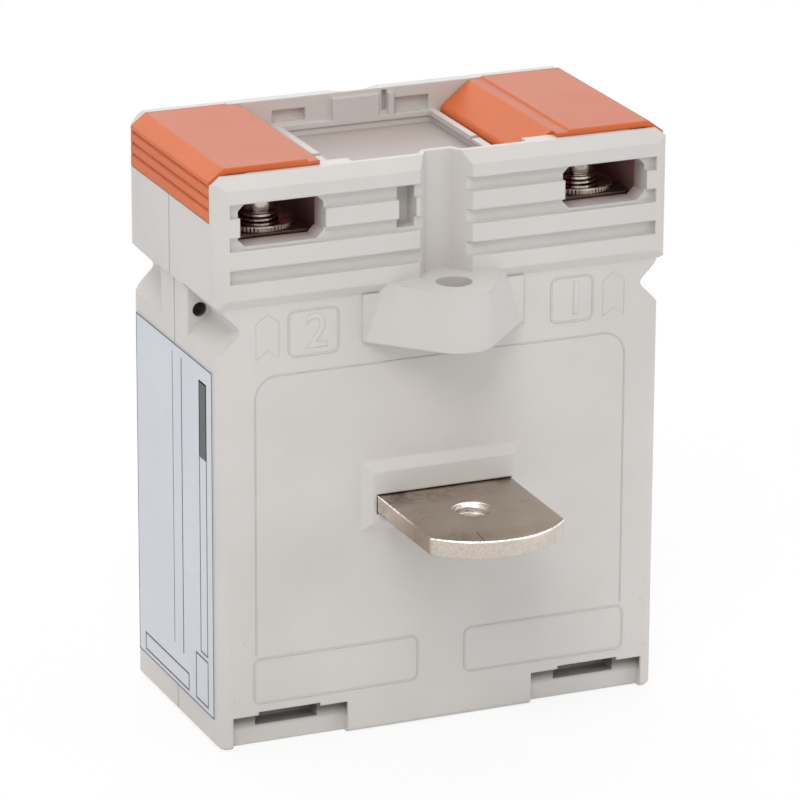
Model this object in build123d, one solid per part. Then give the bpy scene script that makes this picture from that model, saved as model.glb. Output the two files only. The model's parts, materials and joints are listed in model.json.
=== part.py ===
# Wound-primary current transformer: a case of two shells, a tinned primary blade on each
# face, four captive secondary screws and two hinged terminal covers.
# Millimetres, +Z up, front face towards -Y, origin under the middle of the case.
import os
from math import acos, atan2, cos, hypot, radians, sin, sqrt

from build123d import *

os.makedirs("parts", exist_ok=True)

# Fits and gaps
running_gap = 0.05
part_gap = 0.15
seat_gap = 0.3
beyond = 2.0

# Lower body of the case
body_width = 59.4
body_depth = 30.0
body_corner = 1.3
foot_edge = 0.4
case_wall = 2.2
seam = 0.3
seam_depth = 0.15

# Terminal block on top of the body
block_overhang = 0.6
block_proud = 1.0
block_bottom = 59.0
block_underside = 1.35
block_corner = 2.0
front_wall_top = 74.35
rear_wall_top = 75.0
front_bevel = 1.5
top_corner_side = 2.1
top_corner_drop = 1.7
front_wall = 3.8
rear_wall = 1.5

# Ribbed faces of the terminal block
groove_depth = 0.8
rear_groove_depth = 0.5
groove_height = 1.75
groove_pitch = 4.15
front_groove_count = 3
rear_groove_count = 2
lowest_groove_height = 61.1
groove_margin = 1.9

# Side notches, the web between them and its sealing hole
notch_depth = 3.7
notch_height = 54.7
notch_round = 0.65
web_thickness = 9.4
seal_hole = 1.9
seal_hole_inset = 1.5

# Terminal chambers and their wire windows
chamber_width = 12.95
chamber_wall = 1.3
chamber_floor = 63.8
chamber_floor_thickness = 2.0
window_inner_margin = 1.35
window_outer_margin = 0.45
window_bottom = 65.55
window_top = 71.05
window_corner = 0.95

# Tray between the covers, its rim, and the troughs that the hinges lie in
rim_top = 71.5
front_rim_drop = 0.25
rim_thickness = 0.75
tray_front = 11.2
tray_rear = 13.1
tray_floor = 69.8
side_undercut = 0.35
rear_undercut = 0.2
rail_width = 1.4
rail_margin = 1.2
rail_chamfer = 0.5
trough_floor = 69.9

# Inner faces of the walls above the rim
centre_wall = 13.65
bulge_reach = 12.25
bulge_half = 1.95
bulge_foot = 2.9
rear_bulge_half = 3.2
wall_rib_inner = 4.5
wall_rib_outer = 5.3
pocket_depth = 0.8
pocket_top = 73.5
right_pocket_inner = 5.4
right_pocket_bottom = 71.6
left_pocket_inner = 6.8
left_pocket_margin = 0.3
left_pocket_bottom = 71.9
slit_inner = 3.7
slit_outer = 4.4
slit_bottom = 72.0
slit_top = 74.7

# Terminal covers
cover_top = 75.2
cover_plate = 0.8
cover_front = 13.7
skirt_bottom = 68.6
skirt_thickness = 1.3
skirt_rib_depth = 0.45
skirt_rib_half = 0.35
skirt_rib_pitch = 1.45
first_rib_height = 70.0
skirt_valley_count = 3
cover_corner_side = 2.0
cover_corner_drop = 1.5
inside_corner = 1.0
ledge_reach = 1.7
ledge_step = 0.2
ledge_drop = 0.3
ramp_reach = 1.2
ramp_slope = 38.0
ramp_thickness = 1.0
hinge_inset = 1.8
pin_radius = 0.6
pin_front = 1.1
pin_rear = 0.7

# Screwdriver channel, lug and latch pocket of the front face, and the rear face's channel
channel_mouth = 7.0
channel_back = 3.2
channel_depth = 2.9
rear_channel_half = 3.1
rear_channel_depth = 1.3
lug_bottom = 51.5
lug_half_top = 8.3
lug_half_bottom = 10.8
lug_reach_top = 10.0
lug_reach_bottom = 9.3
lug_nose_top = 3.6
lug_nose_bottom = 4.6
lug_pad = 0.4
lug_hole = 4.5
lug_hole_reach = 3.4
latch_outer = 6.3
latch_inner = 4.0
latch_bottom = 65.65
latch_top = 70.9
latch_depth = 3.0

# Clip recesses at the foot of both faces
foot_inner = 12.6
foot_margin = 1.7
foot_height = 4.2
foot_depth = 1.3
clip_inner = 16.3
clip_margin = 3.4
clip_top = 4.6
clip_bottom = 2.4
clip_depth = 4.0

# Primary blades and the collars round their slots
blade_height = 30.35
blade_width = 18.0
blade_thickness = 2.3
blade_reach = 21.5
blade_hole_reach = 9.8
blade_hole = 5.0
blade_corner = 1.0
blade_head_width = 21.6
blade_head_length = 2.6
collar_width = 21.8
collar_above = 4.2
collar_below = 2.4
collar_bevel = 1.3

# Ring core, its insulation and secondary winding, and the primary turns
core_outer = 19.0
core_inner = 11.0
core_length = 11.0
insulation_wall = 0.8
secondary_build = 1.4
secondary_edge = 1.0
saddle_near = 9.5
saddle_far = 14.0
saddle_drop = 15.85
primary_width = 2.0
primary_height = 1.6
wire_clearance = 0.35
turn_count = 5
turn_pitch = 2.4
turn_gap = 0.5
turn_bend = 1.6

# Secondary leads, terminal bars, screws and captive washers
lead_wire = 1.4
lead_margin = 1.2
lead_foot_inset = 3.6
lead_straight = 4.0
lead_passage = 2.0
bar_inner_margin = 1.8
bar_outer_margin = 0.95
bar_thickness = 2.0
front_screw_margin = 5.0
rear_screw_margin = 6.3
screw_well = 3.8
thread = 3.0
screw_length = 6.2
clamp_outer = 9.2
clamp_thickness = 0.8
lock_outer = 5.4
lock_thickness = 0.6
lock_slit = 0.7
washer_hole = 3.3
head_size = 4.8
head_height = 3.2
head_collar = 5.2
head_collar_height = 0.5
head_edge = 0.3
slot_width = 0.9
slot_depth = 1.2

# Rating label on the left side
label_thickness = 0.15
label_front = 13.1
label_rear = 13.5
label_bottom = 3.7
label_top = 49.2

# Faces and heights that follow from the sizes above
half_depth = body_depth / 2
front_face = -half_depth - block_proud
body_side = body_width / 2
block_side = body_side + block_overhang
underside_start = block_bottom - block_underside
inner_y = half_depth - case_wall
notch_vertex = block_side - notch_depth
seal_hole_x = notch_vertex + seal_hole_inset
groove_end = block_side - groove_margin
foot_outer = body_side - foot_margin
clip_outer = foot_outer - clip_margin

# Places in the terminal chambers
skirt_inside = block_side - skirt_thickness
seat_side = skirt_inside - part_gap
chamber_outer = seat_side - chamber_wall
chamber_inner = chamber_outer - chamber_width
chamber_front = front_face + front_wall
chamber_rear = half_depth - rear_wall
chamber_ceiling = chamber_floor - chamber_floor_thickness
window_inner = chamber_inner + window_inner_margin
window_outer = chamber_outer - window_outer_margin
bar_inner = chamber_inner + bar_inner_margin
bar_outer = chamber_outer - bar_outer_margin
bar_top = chamber_floor + bar_thickness
screw_x = (bar_inner + bar_outer) / 2
screw_places = {"front": chamber_front + front_screw_margin, "rear": chamber_rear - rear_screw_margin}
lead_x = bar_inner + lead_margin
clamp_top = bar_top + clamp_thickness
lock_top = clamp_top + lock_thickness
cover_rear = chamber_rear - part_gap
cover_under = cover_top - cover_plate

# Places of the ring, the primary turns and the base under them
ring_outer = core_outer + insulation_wall + secondary_build
ring_inner = core_inner - insulation_wall - secondary_build
ring_half = core_length / 2 + insulation_wall + secondary_build
lead_foot = ring_outer - lead_foot_inset
leg_y = ring_half + turn_gap + primary_height / 2
turn_bottom = blade_height - ring_outer - turn_gap - primary_height
base_thickness = turn_bottom - wire_clearance
blade_low = blade_height - blade_thickness / 2
blade_high = blade_height + blade_thickness / 2

# Sides of the tray, and the hinge axis, which lies one barrel radius under the ramp's slope
hinge_x = chamber_inner - hinge_inset
rail_outer = hinge_x - rail_margin
tray_half = rail_outer - rail_width
ramp_top = chamber_inner + ramp_reach
ledge_edge = ramp_top + ledge_reach
slope_cos = cos(radians(ramp_slope))
slope_sin = sin(radians(ramp_slope))
ledge_height = cover_top - ledge_drop
ramp_run = (ramp_top + ramp_thickness * slope_sin - hinge_x) / slope_cos
hinge_z = ledge_height - ramp_run * slope_sin - ramp_thickness * slope_cos


def span(x0, x1, y0, y1, z0, z1):
    # A box between three pairs of limits
    return Pos((x0 + x1) / 2, (y0 + y1) / 2, (z0 + z1) / 2) * Box(abs(x1 - x0), abs(y1 - y0), abs(z1 - z0))


def along_y(points, y0, y1):
    # A prism along Y from points in X and Z
    return extrude(Plane.XZ.offset(-y1) * make_face(Polyline(*points, close=True)), y1 - y0)


def along_x(points, x0, x1):
    # A prism along X from points in Y and Z
    return extrude(Plane.YZ.offset(x0) * make_face(Polyline(*points, close=True)), x1 - x0)


def rod_y(radius, x, z, y0, y1):
    return Pos(x, (y0 + y1) / 2, z) * Rot(90, 0, 0) * Cylinder(radius, y1 - y0)


def rod_z(radius, x, y, z0, z1):
    return Pos(x, y, (z0 + z1) / 2) * Cylinder(radius, z1 - z0)


def both_sides(shape):
    return shape + mirror(shape, Plane.YZ)


def front_and_rear(shape):
    return shape + mirror(shape, Plane.XZ)


def body_form():
    body = extrude(RectangleRounded(body_width, body_depth, body_corner), block_bottom)
    return chamfer(body.edges().group_by(Axis.Z)[0], foot_edge)


def block_form():
    # The terminal block is what its side, front and plan outlines have in common
    side = along_x(
        [(half_depth, underside_start), (-half_depth, underside_start), (front_face, block_bottom),
         (front_face, front_wall_top - front_bevel), (front_face + front_bevel, front_wall_top),
         (chamber_rear, front_wall_top), (chamber_rear, rear_wall_top), (half_depth, rear_wall_top)],
        -block_side, block_side)
    step = block_side - body_side
    front = along_y(
        [(step - block_side, underside_start), (block_side - step, underside_start),
         (block_side, underside_start + step), (block_side, rear_wall_top - top_corner_drop),
         (block_side - top_corner_side, rear_wall_top), (top_corner_side - block_side, rear_wall_top),
         (-block_side, rear_wall_top - top_corner_drop), (-block_side, underside_start + step)],
        front_face, half_depth)
    plan = extrude(RectangleRounded(2 * block_side, body_depth + block_proud, block_corner), rear_wall_top)
    plan = Pos(0, -block_proud / 2, 0) * plan
    return side & front & plan


def notch_pockets():
    # V pockets with a rounded vertex, open at the side and at the front or rear
    reach = notch_depth + beyond
    upper = (notch_vertex + notch_round, notch_height + notch_round)
    lower = (notch_vertex + notch_round, notch_height - notch_round)
    flanks = Polyline(upper, (notch_vertex + reach, notch_height + reach),
                      (notch_vertex + reach, notch_height - reach), lower)
    section = make_face(flanks + Bezier(lower, (notch_vertex, notch_height), upper))
    depth = body_depth + block_proud + 2 * beyond
    wedge = extrude(Plane.XZ.offset(-half_depth - beyond) * section, depth)
    web = span(0, body_width, -web_thickness / 2, web_thickness / 2, 0, rear_wall_top)
    hole = rod_y(seal_hole / 2, seal_hole_x, notch_height, -web_thickness, web_thickness)
    return both_sides(wedge - web + hole)


def rib_grooves(depth, count, inner):
    # Grooves that leave the long gripping ribs, cut into the front or the rear face
    face = front_face if depth > rear_groove_depth else half_depth
    inward = depth if depth > rear_groove_depth else -depth
    outward = -beyond if depth > rear_groove_depth else beyond
    cuts = [
        span(inner, groove_end, face + outward, face + inward,
             lowest_groove_height + index * groove_pitch,
             lowest_groove_height + index * groove_pitch + groove_height)
        for index in range(count)
    ]
    return both_sides(cuts[0] + cuts[1:])


def screwdriver_channel():
    mouth = channel_mouth / 2
    back = channel_back / 2
    flare = beyond * (mouth - back) / channel_depth
    plan = make_face(Polyline(
        (-mouth - flare, front_face - beyond), (-back, front_face + channel_depth),
        (back, front_face + channel_depth), (mouth + flare, front_face - beyond), close=True))
    return Pos(0, 0, block_bottom) * extrude(plan, rear_wall_top - block_bottom)


def rear_channel():
    # Shallow round hollow down the middle of the rear face
    half = rear_channel_half
    outside = half_depth + beyond
    mouth = Polyline((half, half_depth), (half, outside), (-half, outside), (-half, half_depth))
    hollow = ThreePointArc((-half, half_depth), (0, half_depth - rear_channel_depth), (half, half_depth))
    plan = make_face(mouth + hollow)
    return Pos(0, 0, block_bottom) * extrude(plan, rear_wall_top - block_bottom)


def lug_outline(half, reach, nose):
    # Two straight flanks that meet a round nose, closed behind the front face
    centre = -half_depth - reach + nose
    rise = -half_depth - centre
    touch = atan2(rise, half) - acos(nose / hypot(half, rise))
    side = (nose * cos(touch), centre + nose * sin(touch))
    inside = case_wall / 2 - half_depth
    flanks = Polyline((-side[0], side[1]), (-half, -half_depth), (-half, inside), (half, inside),
                      (half, -half_depth), side)
    tip = ThreePointArc(side, (0, -half_depth - reach), (-side[0], side[1]))
    return make_face(flanks + tip)


def lug_form():
    bottom = Pos(0, 0, lug_bottom) * lug_outline(lug_half_bottom, lug_reach_bottom, lug_nose_bottom)
    top = Pos(0, 0, block_bottom) * lug_outline(lug_half_top, lug_reach_top, lug_nose_top)
    pad = span(-lug_half_bottom, lug_half_bottom, -half_depth - lug_pad, -half_depth + lug_pad,
               lug_bottom, underside_start)
    return loft([bottom, top], ruled=True) + pad


def collar_form():
    # Bevelled frame round a blade's slot, from the front face outwards
    low = blade_low - part_gap - collar_below + collar_bevel
    high = blade_high + part_gap + collar_above - collar_bevel
    middle = Pos(0, (low + high) / 2)
    height = high - low + 2 * collar_bevel
    outer = Plane.XZ.offset(half_depth) * middle * Rectangle(collar_width, height)
    inner = Plane.XZ.offset(-front_face) * middle * Rectangle(collar_width - 2 * collar_bevel, high - low)
    return loft([outer, inner], ruled=True)


def blade_slot():
    half = blade_width / 2 + part_gap
    return span(-half, half, front_face - beyond, -half_depth + case_wall + beyond,
                blade_low - part_gap, blade_high + part_gap)


def foot_recess():
    # Shallow recess with a deeper slot that a mounting clip hooks into
    outside = -half_depth - beyond
    shallow = -half_depth + foot_depth
    deep = -half_depth + clip_depth
    recess = span(foot_inner, foot_outer, outside, shallow, -beyond, foot_height)
    recess += span(clip_inner, clip_outer, outside, shallow, -beyond, clip_top)
    recess += span(clip_inner, clip_outer, outside, deep, clip_bottom, clip_top)
    return both_sides(recess)


def inner_space():
    # Room for the ring core and primary turns, with two saddles that carry the ring
    lower_top = notch_height - notch_depth - case_wall
    side = body_side - case_wall
    room = span(-side, side, -inner_y, inner_y, base_thickness, lower_top)
    neck = notch_vertex - case_wall
    room += span(-neck, neck, -inner_y, inner_y, lower_top, chamber_ceiling)
    middle = chamber_inner - case_wall
    room += span(-middle, middle, front_face + channel_depth + case_wall, inner_y,
                 chamber_ceiling, tray_floor - case_wall)
    saddle = span(saddle_near, saddle_far, -inner_y, inner_y, base_thickness, blade_height - saddle_drop)
    saddle -= rod_y(ring_outer + seat_gap, 0, blade_height, -half_depth, half_depth)
    return room - both_sides(saddle)


def chamber_cuts():
    # Terminal chamber, wire windows, screw wells, lead passage, cover seat and hinge holes
    top = rear_wall_top + beyond
    cut = span(chamber_inner, chamber_outer, chamber_front, chamber_rear, chamber_floor, top)
    corner = window_corner
    cut += along_y(
        [(window_inner + corner, window_bottom), (window_outer - corner, window_bottom),
         (window_outer, window_bottom + corner), (window_outer, window_top - corner),
         (window_outer - corner, window_top), (window_inner + corner, window_top),
         (window_inner, window_top - corner), (window_inner, window_bottom + corner)],
        front_face - beyond, half_depth + beyond)
    for y in screw_places.values():
        cut += rod_z(screw_well / 2, screw_x, y, chamber_ceiling - beyond, chamber_floor + beyond)
    cut += rod_z(lead_passage / 2, lead_x, 0, chamber_ceiling - beyond, chamber_floor + beyond)
    cut += span(rail_outer, chamber_inner + beyond, chamber_front, chamber_rear, trough_floor, top)
    ridge = cover_under - part_gap
    cut += along_y(
        [(seat_side, skirt_bottom - part_gap), (block_side + beyond, skirt_bottom - part_gap),
         (block_side + beyond, top), (chamber_outer - beyond, top), (chamber_outer - beyond, ridge),
         (seat_side - inside_corner, ridge), (seat_side, ridge - inside_corner)],
        -cover_front - part_gap, chamber_rear)
    pin_hole = pin_radius + running_gap
    cut += rod_y(pin_hole, hinge_x, hinge_z, chamber_front - pin_front - part_gap, chamber_front + part_gap)
    rear_hole_end = chamber_rear + pin_rear + running_gap
    cut += rod_y(pin_hole, hinge_x, hinge_z, chamber_rear - part_gap, rear_hole_end)
    return both_sides(cut)


def tray_cuts():
    # Open space above the rim, and the tray below it with its undercut
    top = rear_wall_top + beyond
    front_rim = rim_top - front_rim_drop
    cut = span(-rail_outer, rail_outer, -centre_wall, 0, front_rim, top)
    cut += span(-rail_outer, rail_outer, 0, chamber_rear, rim_top, top)
    cut -= wall_bulges(front_rim, top)
    cut += span(-tray_half, tray_half, -tray_front, tray_rear, tray_floor, top)
    under = tray_half + side_undercut
    cut += span(-under, under, -tray_front, tray_rear + rear_undercut, tray_floor, rim_top - rim_thickness)
    edge = along_y(
        [(rail_outer - rail_chamfer, rim_top), (rail_outer, rim_top - rail_chamfer), (rail_outer, rim_top)],
        chamber_front, chamber_rear)
    return cut + both_sides(edge) + rear_wall_pockets()


def wall_bulges(bottom, top):
    # The backs of the two channels and one rib stand proud of the walls' inner faces
    plan = make_face(Polyline((-bulge_foot, -centre_wall), (-bulge_half, -bulge_reach),
                              (bulge_half, -bulge_reach), (bulge_foot, -centre_wall), close=True))
    bulges = Pos(0, 0, bottom) * extrude(plan, top - bottom)
    bulges += span(-rear_bulge_half, rear_bulge_half, tray_rear, chamber_rear, bottom, top)
    return bulges + span(wall_rib_inner, wall_rib_outer, tray_rear, chamber_rear, bottom, top)


def rear_wall_pockets():
    # Two wide pockets and a narrow slit in the inner face of the rear wall
    back = chamber_rear + pocket_depth
    pockets = span(right_pocket_inner, tray_half, chamber_rear - part_gap, back,
                   right_pocket_bottom, pocket_top)
    pockets += span(left_pocket_margin - rail_outer, -left_pocket_inner, chamber_rear - part_gap, back,
                    left_pocket_bottom, pocket_top)
    return pockets + span(slit_inner, slit_outer, chamber_rear - part_gap, back, slit_bottom, slit_top)


def seam_grooves():
    # The joint of the shells shows down both sides and across the rim
    far = block_side + beyond
    low = span(body_side - seam_depth, far, -seam / 2, seam / 2, -beyond, underside_start)
    high = span(block_side - seam_depth, far, -seam / 2, seam / 2, underside_start, skirt_bottom)
    rim = span(tray_half - part_gap, rail_outer + part_gap, -seam / 2, seam / 2,
               rim_top - rim_thickness, rim_top + beyond)
    return both_sides(low + high + rim)


def build_case():
    case = body_form() + block_form() + lug_form() + front_and_rear(collar_form())
    case -= notch_pockets()
    case -= rib_grooves(groove_depth, front_groove_count, channel_mouth / 2 - block_proud)
    case -= rib_grooves(rear_groove_depth, rear_groove_count, channel_mouth / 2)
    case -= screwdriver_channel()
    case -= rear_channel()
    case -= rod_z(lug_hole / 2, 0, -half_depth - lug_hole_reach, lug_bottom - beyond, block_bottom + beyond)
    latch_back = front_face + latch_depth
    case -= span(-latch_outer, -latch_inner, front_face - beyond, latch_back, latch_bottom, latch_top)
    case -= front_and_rear(blade_slot())
    case -= front_and_rear(foot_recess())
    case -= inner_space()
    case -= chamber_cuts()
    case -= tray_cuts()
    return case - seam_grooves()


def terminal_cover():
    # Right-hand cover: ribbed skirt, top plate, ledge, ramp down to the hinge barrel and two pins
    valleys = []
    for index in range(skirt_valley_count):
        middle = first_rib_height + index * skirt_rib_pitch
        valleys += [(block_side, middle - skirt_rib_half), (block_side - skirt_rib_depth, middle),
                    (block_side, middle + skirt_rib_half)]
    outline = [(skirt_inside, skirt_bottom), (block_side, skirt_bottom)] + valleys + [
        (block_side, cover_top - cover_corner_drop), (block_side - cover_corner_side, cover_top),
        (ledge_edge, cover_top), (ledge_edge - ledge_step, ledge_height), (ramp_top, ledge_height),
        (ramp_top, cover_under), (skirt_inside - inside_corner, cover_under),
        (skirt_inside, cover_under - inside_corner)]
    cover = along_y(outline, -cover_front, cover_rear)
    ramp_front = chamber_front + part_gap
    foot = (ramp_top - ramp_run * slope_cos, ledge_height - ramp_run * slope_sin)
    climb = (cover_under - hinge_z) / slope_sin
    under = (hinge_x + climb * slope_cos, cover_under)
    cover += along_y([(ramp_top, ledge_height), foot, (hinge_x, hinge_z), under, (under[0], ledge_height)],
                     ramp_front, cover_rear)
    cover += rod_y(ramp_thickness, hinge_x, hinge_z, ramp_front, cover_rear)
    cover += rod_y(pin_radius, hinge_x, hinge_z, chamber_front - pin_front, ramp_front)
    cover += rod_y(pin_radius, hinge_x, hinge_z, cover_rear, chamber_rear + pin_rear)
    return cover


def primary_blade():
    # Front blade: rounded nose about its tapped hole, and a wide head behind the wall
    hole_y = -half_depth - blade_hole_reach
    nose = blade_reach - blade_hole_reach
    half = blade_width / 2
    shoulder = hole_y - sqrt(nose ** 2 - half ** 2)
    inner_end = -ring_half - seat_gap
    outline = Polyline((half, shoulder), (half, inner_end), (-half, inner_end), (-half, shoulder))
    tip = ThreePointArc((-half, shoulder), (0, hole_y - nose), (half, shoulder))
    plan = fillet(make_face(outline + tip).vertices().sort_by(Axis.Y)[:2], blade_corner)
    blade = Pos(0, 0, blade_low) * extrude(plan, blade_thickness)
    head_front = -inner_y + part_gap
    blade += span(-blade_head_width / 2, blade_head_width / 2, head_front, head_front + blade_head_length,
                  blade_low, blade_high)
    return blade - rod_z(blade_hole / 2, 0, hole_y, blade_low - beyond, blade_high + beyond)


def ring(outer, inner, length):
    # A square-edged ring along Y round the blades' height
    solid = rod_y(outer, 0, blade_height, -length / 2, length / 2)
    return solid - rod_y(inner, 0, blade_height, -length, length)


def primary_turns():
    # One flat wire: from the front blade through the ring, round its lower limb, up to the rear blade
    first = -(turn_count - 1) * turn_pitch / 2
    corner = primary_width / 2 - first
    pass_z = blade_height - sqrt((ring_inner - turn_gap) ** 2 - corner ** 2) + primary_height / 2
    low_z = turn_bottom + primary_height / 2
    route = [(first, -leg_y, blade_low), (first, -leg_y, pass_z), (first, leg_y, pass_z)]
    for index in range(1, turn_count):
        x = first + index * turn_pitch
        route += [(x - turn_pitch, leg_y, low_z), (x, -leg_y, low_z)]
        route += [(x, -leg_y, pass_z), (x, leg_y, pass_z)]
    route.append((-first, leg_y, blade_low))
    path = FilletPolyline(*route, radius=turn_bend)
    start = Plane(origin=route[0], x_dir=(1, 0, 0), z_dir=(0, 0, -1))
    return sweep(start * Rectangle(primary_width, primary_height), path=path)


def secondary_lead():
    # Right-hand lead: from the top of the winding over to the passage under the terminal bar
    near = lead_foot - lead_wire / 2
    start = blade_height + sqrt(ring_outer ** 2 - near ** 2) + seat_gap
    path = Polyline((lead_foot, 0, start), (lead_foot, 0, start + lead_straight),
                    (lead_x, 0, chamber_ceiling - lead_straight), (lead_x, 0, chamber_floor))
    return sweep(Pos(lead_foot, 0, start) * Circle(lead_wire / 2), path=path, transition=Transition.RIGHT)


def terminal_bar():
    bar = span(bar_inner, bar_outer, chamber_front + 3 * part_gap, chamber_rear - 3 * part_gap,
               chamber_floor, bar_top)
    for y in screw_places.values():
        bar -= rod_z(thread / 2 + running_gap, screw_x, y, chamber_floor - beyond, bar_top + beyond)
    return bar


def clamp_washer(x, y):
    return rod_z(clamp_outer / 2, x, y, bar_top, clamp_top) - rod_z(
        washer_hole / 2, x, y, bar_top - beyond, clamp_top + beyond)


def lock_washer(x, y):
    washer = rod_z(lock_outer / 2, x, y, clamp_top, lock_top) - rod_z(
        washer_hole / 2, x, y, clamp_top - beyond, lock_top + beyond)
    slit = span(x, x + lock_outer, y - lock_slit / 2, y + lock_slit / 2, clamp_top, lock_top)
    return washer - slit


def terminal_screw(x, y):
    head_top = lock_top + head_height
    head = rod_z(head_size / 2, x, y, lock_top, head_top)
    head = chamfer(head.edges().group_by(Axis.Z)[-1], head_edge)
    head += rod_z(head_collar / 2, x, y, lock_top, lock_top + head_collar_height)
    head -= span(x - head_size, x + head_size, y - slot_width / 2, y + slot_width / 2,
                 head_top - slot_depth, head_top + beyond)
    return head + rod_z(thread / 2, x, y, lock_top - screw_length, lock_top)


def rating_label():
    return span(-body_side - label_thickness, -body_side, -label_front, label_rear, label_bottom, label_top)


def save(name, shape):
    export_step(shape, f"parts/{name}.step")


case = build_case()
half_space = span(-body_width, body_width, -body_width, 0, -beyond, rear_wall_top + beyond)
save("front_shell", case & half_space)
save("rear_shell", case - half_space)

cover = terminal_cover()
save("right_terminal_cover", cover)
save("left_terminal_cover", mirror(cover, Plane.YZ))

blade = primary_blade()
save("front_primary_blade", blade)
save("rear_primary_blade", mirror(blade, Plane.XZ))

core = ring(core_outer, core_inner, core_length)
insulation_length = core_length + 2 * insulation_wall
insulation = ring(core_outer + insulation_wall, core_inner - insulation_wall, insulation_length)
winding = ring(ring_outer, ring_inner, 2 * ring_half)
winding = chamfer(winding.edges().sort_by(SortBy.LENGTH)[-2:], secondary_edge)
save("ring_core", core)
save("core_insulation", insulation - core)
save("secondary_winding", winding - insulation)
save("primary_winding", primary_turns())

lead = secondary_lead()
bar = terminal_bar()
for side, flip in (("right", False), ("left", True)):
    save(f"{side}_secondary_lead", mirror(lead, Plane.YZ) if flip else lead)
    save(f"{side}_terminal_bar", mirror(bar, Plane.YZ) if flip else bar)
    x = -screw_x if flip else screw_x
    for place, y in screw_places.items():
        save(f"{side}_{place}_terminal_screw", terminal_screw(x, y))
        save(f"{side}_{place}_lock_washer", lock_washer(x, y))
        save(f"{side}_{place}_clamp_washer", clamp_washer(x, y))

save("rating_label", rating_label())
print("hinge axis at", round(hinge_x, 3), round(hinge_z, 3))
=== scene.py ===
import json
import math

import bmesh
import bpy
from mathutils import Matrix, Vector


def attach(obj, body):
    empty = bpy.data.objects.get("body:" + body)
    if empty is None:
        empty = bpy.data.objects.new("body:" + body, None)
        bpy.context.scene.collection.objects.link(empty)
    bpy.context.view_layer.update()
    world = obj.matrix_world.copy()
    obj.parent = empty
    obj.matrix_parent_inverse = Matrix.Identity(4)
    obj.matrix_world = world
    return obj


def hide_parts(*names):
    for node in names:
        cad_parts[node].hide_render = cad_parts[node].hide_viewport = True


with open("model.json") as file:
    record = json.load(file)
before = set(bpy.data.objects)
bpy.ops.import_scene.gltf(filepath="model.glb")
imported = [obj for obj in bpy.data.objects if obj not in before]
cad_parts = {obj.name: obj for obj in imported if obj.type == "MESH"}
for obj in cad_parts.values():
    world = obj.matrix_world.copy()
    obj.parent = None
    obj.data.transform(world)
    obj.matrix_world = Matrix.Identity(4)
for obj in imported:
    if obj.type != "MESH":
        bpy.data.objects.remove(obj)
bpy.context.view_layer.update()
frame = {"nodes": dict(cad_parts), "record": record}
nodes = frame["nodes"]
mm = 0.001
print("frame loaded:", len(nodes), "nodes")


# Camera and light

photoCamera = {
    "azimuth": -23.02, "elevation": 18.85, "roll": 0.26,
    "distance": 666.3, "focal": 5251.0, "frameSize": 800.0, "target": (0.70, 0.0, 37.73),
    "sensor": 36.0, "clip": (0.05, 20.0),
}


def cameraFrom(spec):
    turn = math.radians(spec["azimuth"])
    rise = math.radians(spec["elevation"])
    roll = math.radians(spec["roll"])
    back = Vector((math.sin(turn) * math.cos(rise), -math.cos(turn) * math.cos(rise), math.sin(rise)))
    level = Vector((math.cos(turn), math.sin(turn), 0.0))
    above = back.cross(level)
    right = level * math.cos(roll) + above * math.sin(roll)
    up = back.cross(right)
    data = bpy.data.cameras.new("photoCamera")
    data.sensor_width = spec["sensor"]
    data.lens = spec["focal"] / spec["frameSize"] * spec["sensor"]
    data.clip_start, data.clip_end = spec["clip"]
    camera = bpy.data.objects.new("photoCamera", data)
    bpy.context.collection.objects.link(camera)
    place = (Vector(spec["target"]) + back * spec["distance"]) * mm
    turned = Matrix((right, up, back)).transposed()
    camera.matrix_world = Matrix.Translation(place) @ turned.to_4x4()
    bpy.context.scene.camera = camera


cameraFrom(photoCamera)

lampAim = (0.0, 0.0, 0.035)
lamps = {
    "keyLamp": {"place": (-0.42, -0.66, 0.92), "size": (0.6, 0.6), "power": 5.2, "tint": (1.0, 0.985, 0.96)},
    "fillLamp": {"place": (0.8, -0.55, 0.22), "size": (0.6, 0.9), "power": 2.4, "tint": (0.97, 0.985, 1.0)},
    "sideLamp": {"place": (-0.95, 0.1, 0.35), "size": (0.7, 0.7), "power": 0.74, "tint": (0.98, 0.99, 1.0)},
    "topLamp": {"place": (0.1, 0.15, 0.95), "size": (0.8, 0.6), "power": 2.0, "tint": (1.0, 1.0, 1.0)},
    "backLamp": {"place": (0.1, 0.9, 0.6), "size": (0.9, 0.6), "power": 2.5, "tint": (1.0, 1.0, 1.0)},
}


def addLamp(name, spec):
    data = bpy.data.lights.new(name, "AREA")
    data.shape = "RECTANGLE"
    data.size, data.size_y = spec["size"]
    data.energy = spec["power"]
    data.color = spec["tint"]
    lamp = bpy.data.objects.new(name, data)
    bpy.context.collection.objects.link(lamp)
    lamp.location = spec["place"]
    aim = Vector(lampAim) - Vector(spec["place"])
    lamp.rotation_euler = aim.to_track_quat("-Z", "Y").to_euler()


for lampName, lampSpec in lamps.items():
    addLamp(lampName, lampSpec)

worldLight = {"level": 0.5, "tint": (1.0, 1.0, 1.0)}


def seenRays(tree):
    # 1 where the eye, a gloss or a clear piece looks at the background
    rays = tree.nodes.new("ShaderNodeLightPath")
    total = rays.outputs["Is Camera Ray"]
    for way in ("Is Glossy Ray", "Is Transmission Ray"):
        larger = tree.nodes.new("ShaderNodeMath")
        larger.operation = "MAXIMUM"
        tree.links.new(total, larger.inputs[0])
        tree.links.new(rays.outputs[way], larger.inputs[1])
        total = larger.outputs[0]
    return total


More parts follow.
